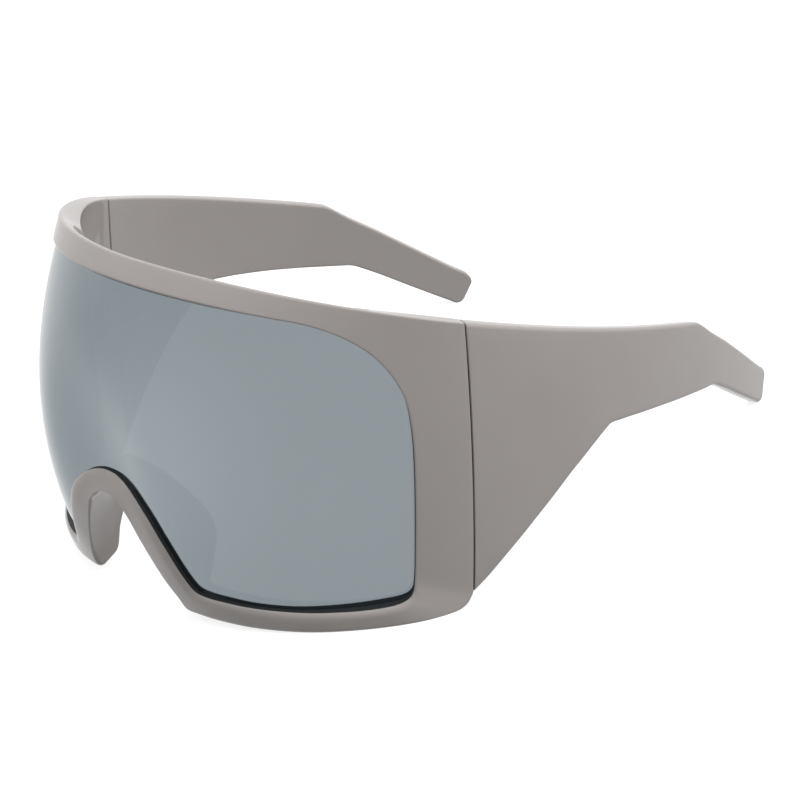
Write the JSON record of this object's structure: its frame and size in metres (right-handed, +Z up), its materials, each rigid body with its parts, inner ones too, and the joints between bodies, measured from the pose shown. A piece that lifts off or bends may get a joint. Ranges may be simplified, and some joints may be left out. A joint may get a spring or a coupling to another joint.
{
  "type": "shield sunglasses",
  "caption": "Oversize mask sunglasses: one wrap-around mirror shield lens in a gloss frame with a nose arch, and deep temples that fold on screw hinges.",
  "frame": {"origin": "centre of the bounding box's base, on the table plane that the bottom rim and both temple tips rest on", "axes": "+Z up from the table, the lens faces -Y, the open temples run back along +Y, and +X is the wearer's left"},
  "size_m": [0.1522, 0.1556, 0.0815],
  "materials": {
    "frame_plastic": "polished warm grey moulded nylon",
    "mirror_lens": "polycarbonate with a silver blue mirror coating, slightly see-through",
    "hinge_steel": "satin nickel silver",
    "screw_steel": "bright plated steel"
  },
  "bodies": {
    "front": {"front_frame": "frame_plastic", "shield_lens": "mirror_lens", "left_front_leaf": "hinge_steel", "left_hinge_screw": "screw_steel", "left_front_leaf_screw_upper": "screw_steel", "left_front_leaf_screw_lower": "screw_steel", "right_front_leaf": "hinge_steel", "right_hinge_screw": "screw_steel", "right_front_leaf_screw_upper": "screw_steel", "right_front_leaf_screw_lower": "screw_steel"},
    "left_arm": {"left_temple": "frame_plastic", "left_temple_leaf": "hinge_steel", "left_temple_leaf_screw_upper": "screw_steel", "left_temple_leaf_screw_lower": "screw_steel"},
    "right_arm": {"right_temple": "frame_plastic", "right_temple_leaf": "hinge_steel", "right_temple_leaf_screw_upper": "screw_steel", "right_temple_leaf_screw_lower": "screw_steel"}
  },
  "joints": [
    {"name": "left_temple_fold", "type": "hinge", "parent": "front", "child": "left_arm", "pos_m": [0.06438, -0.02422, 0.03664], "axis": [0, 0.1506, 0.9886], "range_deg": [0, 95]},
    {"name": "right_temple_fold", "type": "hinge", "parent": "front", "child": "right_arm", "pos_m": [-0.06438, -0.02422, 0.03664], "axis": [0, -0.1506, -0.9886], "range_deg": [0, 78]}
  ]
}
